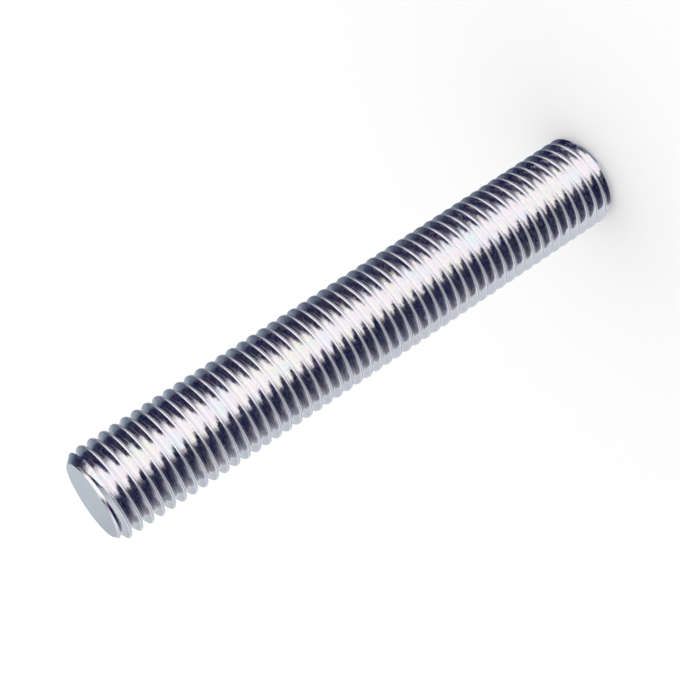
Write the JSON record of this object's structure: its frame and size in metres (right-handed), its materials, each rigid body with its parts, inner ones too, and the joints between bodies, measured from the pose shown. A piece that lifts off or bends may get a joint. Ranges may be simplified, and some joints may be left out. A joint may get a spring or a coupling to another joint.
{
  "type": "threaded rod",
  "caption": "Straight steel rod threaded over its whole length with a right-hand metric thread, both ends cut square and chamfered.",
  "frame": {"origin": "centre of the lower end face, on the rod's axis", "axes": "+Z along the rod's axis from the lower end face to the upper one; X and Y square to it"},
  "size_m": [0.0198, 0.0198, 0.125],
  "materials": {
    "zinc_plated_steel": "bright blue-white zinc plate on rolled steel, glossy, with small nicks"
  },
  "bodies": {
    "root": {"threaded_rod": "zinc_plated_steel"}
  },
  "joints": []
}
